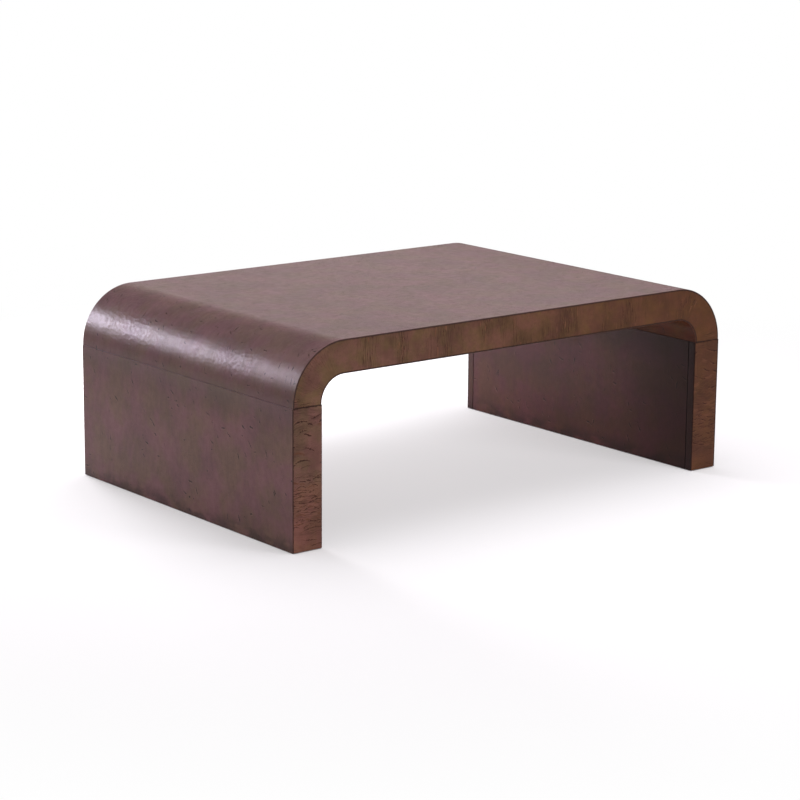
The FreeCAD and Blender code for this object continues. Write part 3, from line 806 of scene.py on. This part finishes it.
def select_only(piece):
    bpy.ops.object.select_all(action="DESELECT")
    piece.select_set(True)
    bpy.context.view_layer.objects.active = piece


def true_flats(piece):
    """Let the large faces set the shading, so that an eased edge doesn't bend the flat beside it."""
    select_only(piece)
    bpy.ops.object.modifier_add(type="WEIGHTED_NORMAL")
    modifier = piece.modifiers[-1]
    modifier.mode = "FACE_AREA"
    modifier.weight = FACE_AREA_WEIGHT
    modifier.keep_sharp = True
    bpy.ops.object.modifier_apply(modifier=modifier.name)


def finish_piece(piece, material, slot, *nodes):
    """Give a new piece its finish, hide the construction nodes it stands for and hang it on the root body.
    """
    true_flats(piece)
    piece.data.materials.clear()
    piece.data.materials.append(material)
    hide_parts(*nodes)
    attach(piece, "root")


print("modelling helpers ready")

# %% [markdown]
# ## The bent sheets
#
# The face veneer is one sheet from seam to seam. It could be a grid wrapped by a curve, but a
# maker's way is closer to the real bend: take the end of the sheet at the left seam, spin it a
# quarter turn about the bend's centre line, push it straight along the top, and spin it again down
# to the right seam. The underside sheet is made in the same way round the smaller radius.

# %% Spin, push and spin a section from seam to seam
BEND_STEPS = 36
QUARTER = math.pi / 2
EASED = 1.1 * MM


def spin_quarter(way, centre_x):
    """Spin the selected section a quarter turn about a bend's centre line.

    Seen from the front, LEFT turns it clockwise and RIGHT the other way.
    """
    bpy.ops.mesh.spin(steps=BEND_STEPS, angle=way * QUARTER, center=(centre_x, 0, SEAM), axis=(0, 1, 0))


def push_along(distance):
    bpy.ops.mesh.extrude_region_move(TRANSFORM_OT_translate={"value": (distance, 0, 0)})


def bent_sheet(name, outer, inner, visible):
    """A veneer sheet between two radii, eased along its visible edges."""
    piece = start_block(name, (-BEND_X - outer, -HALF_DEPTH, SEAM), (-BEND_X - inner, HALF_DEPTH, SEAM),
                        flat=True)
    spin_quarter(LEFT, -BEND_X)
    push_along(2 * BEND_X)
    spin_quarter(LEFT, BEND_X)
    merge_all()

    def on_face(point):
        past_tangent = max(abs(point.x) - BEND_X, 0)
        return abs(math.hypot(past_tangent, point.z - SEAM) - visible) < NEAR

    def rim(a, b):
        return (on_face(a) and on_face(b) and abs(a.y - b.y) < NEAR
                and abs(abs(a.y) - HALF_DEPTH) < NEAR)

    print(name, "rim edges:", pick_edges(piece, rim))
    ease(EASED)
    close_up(piece)
    lay_flat(piece, visible)
    return piece


top_sheet = bent_sheet("top_sheet", BEND_RADIUS, BEND_RADIUS - VENEER, BEND_RADIUS)
finish_piece(top_sheet, outer_face, "face_veneer", "top_face_veneer")
under_sheet = bent_sheet("under_sheet", INNER_RADIUS + VENEER, INNER_RADIUS, INNER_RADIUS)
finish_piece(under_sheet, under_face, "face_veneer", "underside_veneer")

# %% [markdown]
# ## The cross-banded edging of the top
#
# Each band goes from the butt joint to the foot of a bend. The front left one is modelled with the
# same spin and push, and so is the front right one, which is a little longer because the butt joint
# is off the middle. The rear bands are mirrored copies of the front ones.

# %% Front bands, and their mirrored copies at the rear
SEAM_EASED = 0.9 * MM
REAR_SHIFT = 3.0


def band(side):
    """A front band, from its seam to the butt joint."""
    low_x, high_x = sorted((side * (BEND_X + EDGING_OUT), side * (BEND_X + EDGING_IN)))
    piece = start_block(f"front_band_{SIDE_NAMES[side]}", (low_x, -HALF_DEPTH, SEAM),
                        (high_x, EDGING - HALF_DEPTH, SEAM), flat=True)
    node_low, node_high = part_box(f"front_edge_veneer_{SIDE_NAMES[side]}")
    butt = node_high.x if side == LEFT else node_low.x
    spin_quarter(side, side * BEND_X)
    push_along(butt - side * BEND_X)
    merge_all()

    def seam_edge(a, b):
        return all(abs(point.z - SEAM) < NEAR and abs(point.y + HALF_DEPTH) < NEAR for point in (a, b))

    pick_edges(piece, seam_edge)
    ease(SEAM_EASED)
    close_up(piece)
    return piece


def mirrored(piece, name):
    """A copy on the rear side, with a mesh of its own. Mirroring turns faces, so they are set right."""
    select_only(piece)
    bpy.ops.object.duplicate(linked=False)
    copy = bpy.context.object
    copy.name = copy.data.name = name
    bpy.ops.object.mode_set(mode="EDIT")
    bpy.ops.mesh.select_all(action="SELECT")
    bpy.ops.transform.mirror(constraint_axis=(False, True, False), center_override=(0, 0, 0))
    bpy.ops.mesh.normals_make_consistent(inside=False)
    bpy.ops.object.mode_set(mode="OBJECT")
    return copy


for side in (LEFT, RIGHT):
    front_band = band(side)
    rear_band = mirrored(front_band, f"rear_band_{SIDE_NAMES[side]}")
    lay_flat(front_band, EDGING_MIDDLE, banded=True)
    lay_flat(rear_band, EDGING_MIDDLE, banded=True, shift=REAR_SHIFT)
    finish_piece(front_band, apron_edging, "edge_veneer", f"front_edge_veneer_{SIDE_NAMES[side]}")
    finish_piece(rear_band, apron_edging, "edge_veneer", f"rear_edge_veneer_{SIDE_NAMES[side]}")

# %% [markdown]
# ## The skins of the legs
#
# A leg is a box of flat boards. Boards are blocks from corner to corner of their nodes, and what
# makes them look like wood in hand is the easing of the edges that a finger can reach.

# %% Leg boards with eased edges
BAND_EASED = 0.7 * EASED


def board(node, name, exposed, radius, banded=False, shift=0.0):
    """A board in the place of a node, eased on the edges for which exposed is true."""
    low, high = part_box(node)
    piece = start_block(name, low, high)
    pick_edges(piece, lambda a, b: exposed(a, b, low, high))
    ease(BAND_EASED if banded else EASED)
    close_up(piece)
    lay_flat(piece, radius, banded, shift)
    return piece


def shared(a, b, axis, value):
    """True for an edge that lies in the plane where an axis has this value."""
    return abs(a[axis] - value) < NEAR and abs(b[axis] - value) < NEAR


def on_side(a, b, low, high, side):
    """True for an edge in the left or the right face of a box."""
    return shared(a, b, 0, high.x if side == RIGHT else low.x)


def long_edges(side):
    """A test for the front and rear edges of a board's face on that side."""
    def exposed(a, b, low, high):
        return on_side(a, b, low, high, side) and (shared(a, b, 1, low.y) or shared(a, b, 1, high.y))
    return exposed


def band_edges(side, end):
    """A test for the inner long edge and the seam edge on the visible face of a leg's band."""
    def exposed(a, b, low, high):
        visible_y = high.y if end == REAR else low.y
        return shared(a, b, 1, visible_y) and (on_side(a, b, low, high, -side) or shared(a, b, 2, high.z))
    return exposed


for side in (LEFT, RIGHT):
    leg = f"{SIDE_NAMES[side]}_leg"
    sheet = board(f"{leg}_outer_veneer", f"{leg}_outer_sheet", long_edges(side), BEND_RADIUS)
    finish_piece(sheet, outer_face, "face_veneer", f"{leg}_outer_veneer")
    for end in (FRONT, REAR):
        edge = f"{leg}_{END_NAMES[end]}"
        edging = board(f"{edge}_edge_veneer", f"{edge}_band", band_edges(side, end), LEG_MIDDLE,
                       banded=True, shift=REAR_SHIFT if end == REAR else 0.0)
        finish_piece(edging, leg_edging, "edge_veneer", f"{edge}_edge_veneer")

# %% [markdown]
# The inner face of a leg is a veneered panel between two stiles. Each gets its own stretch of the
# sheet map, so that the grain runs up the leg at one scale and doesn't carry on across a joint.

# %% Inner panel face and stiles
PANEL_SHIFT = 1.3
STILE_SHIFT = 2.1
STILES_APART = 0.4

for side in (LEFT, RIGHT):
    leg = f"{SIDE_NAMES[side]}_leg"
    inner_edges = long_edges(-side)
    panel = board(f"{leg}_inner_veneer", f"{leg}_inner_sheet", inner_edges, INNER_RADIUS,
                  shift=PANEL_SHIFT)
    finish_piece(panel, shaded_inner_face, "face_veneer", f"{leg}_inner_veneer")
    for end in (FRONT, REAR):
        node = f"{leg}_{END_NAMES[end]}_stile"
        stile = board(node, f"{node}_board", inner_edges, INNER_RADIUS,
                      shift=STILE_SHIFT + STILES_APART * end)
        finish_piece(stile, shaded_inner_face, "stained_stile", node)

# %% [markdown]
# ## Finishes for what stays as the construction model has it
#
# Under the table and inside it are raw materials: plywood whose layers show at its edges, pale
# engineered board, beech dowels, zinc-plated steel and dark nylon. Their patterns read the object's
# own coordinates, which are metres in the table's frame.

# %% Finish: raw boards
SPECKS = (900, 900, 900)


def raw_wood(name, pale, dark, stretch, layers=0.0):
    """Unfinished wood: streaks along one axis, and dark glue lines for plywood's layers."""
    material, tree, shader = new_finish(name)
    place = object_place(tree)
    streaks = hills(tree, place, stretch, 4, 0.6)
    specks = hills(tree, place, SPECKS)
    base = blend(tree, between(tree, streaks, 0.3, 0.7), pale, dark)
    speckled = blend(tree, between(tree, specks, 0.55, 0.8, 0.0, 0.35), base, dark)
    if layers:
        wave = add_node(tree, "ShaderNodeTexWave", bands_direction="DIAGONAL")
        wave.inputs["Scale"].default_value = layers
        wave.inputs["Distortion"].default_value = 0.4
        feed(tree, wave.inputs["Vector"], place)
        speckled = blend(tree, between(tree, wave.outputs["Fac"], 0.55, 0.9, 0.0, 0.5), speckled, dark)
    coat(tree, shader, speckled, between(tree, streaks, 0.2, 0.8, 0.62, 0.8),
         sums(tree, "ADD", streaks, specks), 0.2 * MM, 0.5)
    return material


core_board = raw_wood("raw core board", colour(176, 148, 112), colour(138, 108, 76), (90, 12, 90))
bent_ply = raw_wood("raw bending ply", colour(182, 150, 110), colour(120, 88, 58), (20, 20, 60), layers=90)
beech = raw_wood("beech dowel", colour(205, 172, 132), colour(170, 132, 94), (400, 400, 30))
print("raw woods:", core_board.name, bent_ply.name, beech.name)

# %% Finish: zinc-plated steel and nylon
ZINC_BLOOM = (260, 260, 260)
UPRIGHT_SCRATCHES = (2500, 2500, 160)
MOULD_GRAIN = (1400, 1400, 1400)
NYLON_SCUFFS = (220, 90, 220)


def plated_steel():
    material, tree, shader = new_finish("zinc-plated steel")
    place = object_place(tree)
    bloom = hills(tree, place, ZINC_BLOOM, 3, 0.6)
    scratches = hills(tree, place, UPRIGHT_SCRATCHES)
    zinc = blend(tree, between(tree, bloom, 0.35, 0.7), colour(196, 198, 196), colour(164, 163, 152))
    shader.inputs["Metallic"].default_value = 1.0
    coat(tree, shader, zinc, between(tree, scratches, 0.3, 0.7, 0.28, 0.45), scratches, 0.03 * MM, 0.4)
    return material


def moulded_nylon():
    material, tree, shader = new_finish("brown nylon")
    place = object_place(tree)
    grain = hills(tree, place, MOULD_GRAIN)
    scuffs = between(tree, hills(tree, place, NYLON_SCUFFS, 3), 0.55, 0.7)
    coat(tree, shader, blend(tree, scuffs, colour(48, 40, 36), colour(86, 76, 68)),
         scaled(tree, scuffs, 0.15, 0.45), grain, 0.05 * MM, 0.5)
    return material


steel = plated_steel()
nylon = moulded_nylon()
print("hardware:", steel.name, nylon.name)

# %% Dress the construction nodes that stay
FINISH_OF_SLOT = {
    "face_veneer": outer_face,
    "edge_veneer": leg_edging,
    "stained_stile": shaded_inner_face,
    "bending_ply": bent_ply,
    "core_wood": core_board,
    "dowel_wood": beech,
    "zinc_steel": steel,
    "nylon": nylon,
}
slot_of_node = {row["node"]: row["material_slot"] for row in frame["record"]["subparts"]}
dressed = 0
for name, node in frame["nodes"].items():
    if not node.hide_render:
        for slot in node.material_slots:
            slot.material = FINISH_OF_SLOT[slot_of_node[name]]
        dressed += 1
print(dressed, "construction nodes dressed")

# %% [markdown]
# ## The studio
#
# A wood this dark is described by what it reflects. A pale band low on the walls gives the flat top
# its even sheen. Below that band and above it the walls are dim, which leaves the upper part of
# each bend and the legs dark. Two softboxes behind the left end, side by side, draw the long
# highlight down the bend. A wide lamp overhead and three smaller ones, in front, to the left and
# behind, light the colours.

# %% World: a pale band on dim walls
# Between two heights in degrees, the light changes from the first factor to the second.
WALL_STEPS = [((2, 11), (0.04, 1.22)), ((15, 22), (1.0, 0.17))]
WALLS = (1.0, 0.90, 0.91, 1.0)
WHITE = (1, 1, 1, 1)


def studio_world():
    """Walls that light the table, behind a backdrop that is plain white to the camera."""
    world = bpy.data.worlds.new("studio")
    world.use_nodes = True
    tree = world.node_tree
    direction = add_node(tree, "ShaderNodeSeparateXYZ")
    feed(tree, direction.inputs[0], add_node(tree, "ShaderNodeTexCoord").outputs["Generated"])
    path = add_node(tree, "ShaderNodeLightPath")
    seen = sums(tree, "MAXIMUM", path.outputs["Is Camera Ray"], path.outputs["Is Transmission Ray"])
    level = 1.0
    for (low, high), (below, above) in WALL_STEPS:
        step = between(tree, direction.outputs["Z"], math.sin(math.radians(low)),
                       math.sin(math.radians(high)), below, above)
        level = product(tree, step, level)
    backdrop = tree.nodes["Background"]
    feed(tree, backdrop.inputs["Color"], blend(tree, seen, WALLS, WHITE))
    feed(tree, backdrop.inputs["Strength"], sums(tree, "MAXIMUM", level, seen))
    return world


scene.world = studio_world()
print("world:", scene.world.name)

# %% Lamps
DAYLIGHT = (1.0, 0.965, 0.99)
LILAC = (0.88, 0.82, 1.0)


def softbox(name, place, target, size, power, tint):
    """A rectangular lamp that faces a point and is itself unseen.

    A tinted one draws sheen only, and a plain one lights colours only, so that no lamp's own
    reflection glares from the top, whichever side it is seen from.
    """
    data = bpy.data.lights.new(name, "AREA")
    data.shape = "RECTANGLE"
    data.size, data.size_y = size
    data.energy = power
    data.color = tint or DAYLIGHT
    lamp = bpy.data.objects.new(name, data)
    scene.collection.objects.link(lamp)
    lamp.location = place
    lamp.rotation_euler = (Vector(target) - Vector(place)).to_track_quat("-Z", "Y").to_euler()
    lamp.visible_camera = False
    lamp.visible_diffuse = tint is None
    lamp.visible_glossy = tint is not None


# Name, place, target, size, power, tint.
LAMPS = [
    ("overhead", (0.35, 0.2, 2.6), (0, 0, 0.3), (2.8, 2.8), 60, None),
    ("front", (1.2, -3.0, 1.0), (0, 0, 0.2), (1.2, 1.0), 47, None),
    ("left", (-3.0, 0.3, 0.8), (0, 0, 0.2), (1.4, 0.8), 15.5, None),
    ("rear", (-0.2, 1.7, 0.40), (0.4, 0.1, 0.15), (0.6, 0.4), 42, None),
    ("sheen_front", (-1.53, 1.25, 1.10), (-0.5, 1.25, 0.33), (0.7, 0.48), 9, LILAC),
    ("sheen_rear", (-1.53, 2.50, 1.10), (-0.5, 2.50, 0.33), (0.8, 0.60), 54, LILAC),
]
for row in LAMPS:
    softbox(*row)
print("lamps:", [row[0] for row in LAMPS])

# %% [markdown]
# The floor is a pale matt disc that keeps the shadow. A little light of its own lifts it towards
# the backdrop's white, except right under the legs, and further out it fades into that white.

# %% Floor
FLOOR_RADIUS = 5.0
FADE_FROM, FADE_TO = 0.16 * FLOOR_RADIUS, 0.4 * FLOOR_RADIUS
FLOOR_PAINT = (0.61, 0.615, 0.63, 1)
FLOOR_ROUGHNESS = 0.9
FLOOR_GLOSS = 0.1
FLOOR_LIFT = 0.38


def outside_legs(tree, place):
    """A mask that is nothing on the two strips of floor under the legs."""
    x, y = [sums(tree, "ABSOLUTE", part) for part in split(tree, place)]
    beside_leg = sums(tree, "ABSOLUTE", sums(tree, "SUBTRACT", x, BEND_X + LEG_MIDDLE))
    return sums(tree, "MAXIMUM", between(tree, beside_leg, LEG_EDGING_HALF - MM, LEG_EDGING_HALF + MM),
                between(tree, y, HALF_DEPTH - MM, HALF_DEPTH + MM))


def mixed(tree, amount, first, second):
    """A Mix Shader node."""
    made = add_node(tree, "ShaderNodeMixShader")
    for target, source in zip(made.inputs, (amount, first, second)):
        feed(tree, target, source)
    return made.outputs[0]


def pale_floor():
    """A level disc that keeps the shadow and fades into the backdrop's white.

    From below it is clear, so that the underside of the table can be looked at.
    """
    bpy.ops.object.select_all(action="DESELECT")
    bpy.ops.mesh.primitive_circle_add(vertices=96, radius=FLOOR_RADIUS, fill_type="NGON")
    floor = bpy.context.object
    floor.name = floor.data.name = "floor"
    material, tree, shader = new_finish("pale floor")
    place = object_place(tree)
    shader.inputs["Base Color"].default_value = FLOOR_PAINT
    shader.inputs["Roughness"].default_value = FLOOR_ROUGHNESS
    shader.inputs["Specular IOR Level"].default_value = FLOOR_GLOSS
    path = add_node(tree, "ShaderNodeLightPath")
    seen = sums(tree, "MAXIMUM", path.outputs["Is Camera Ray"],
                sums(tree, "MAXIMUM", path.outputs["Is Glossy Ray"], path.outputs["Is Transmission Ray"]))
    lift = add_node(tree, "ShaderNodeEmission")
    feed(tree, lift.inputs["Strength"],
         product(tree, product(tree, seen, outside_legs(tree, place)), FLOOR_LIFT))
    lit = add_node(tree, "ShaderNodeAddShader")
    feed(tree, lit.inputs[0], shader.outputs[0])
    feed(tree, lit.inputs[1], lift.outputs[0])
    white = add_node(tree, "ShaderNodeEmission")
    white.inputs["Strength"].default_value = 1.0
    reach = add_node(tree, "ShaderNodeVectorMath", operation="LENGTH")
    feed(tree, reach.inputs[0], place)
    far = between(tree, reach.outputs["Value"], FADE_FROM, FADE_TO)
    from_above = mixed(tree, far, lit.outputs[0], white.outputs[0])
    below = add_node(tree, "ShaderNodeNewGeometry").outputs["Backfacing"]
    clear = add_node(tree, "ShaderNodeBsdfTransparent").outputs[0]
    feed(tree, tree.nodes["Material Output"].inputs["Surface"], mixed(tree, below, from_above, clear))
    floor.data.materials.append(material)
    return floor


floor = pale_floor()
print("floor:", floor.name)
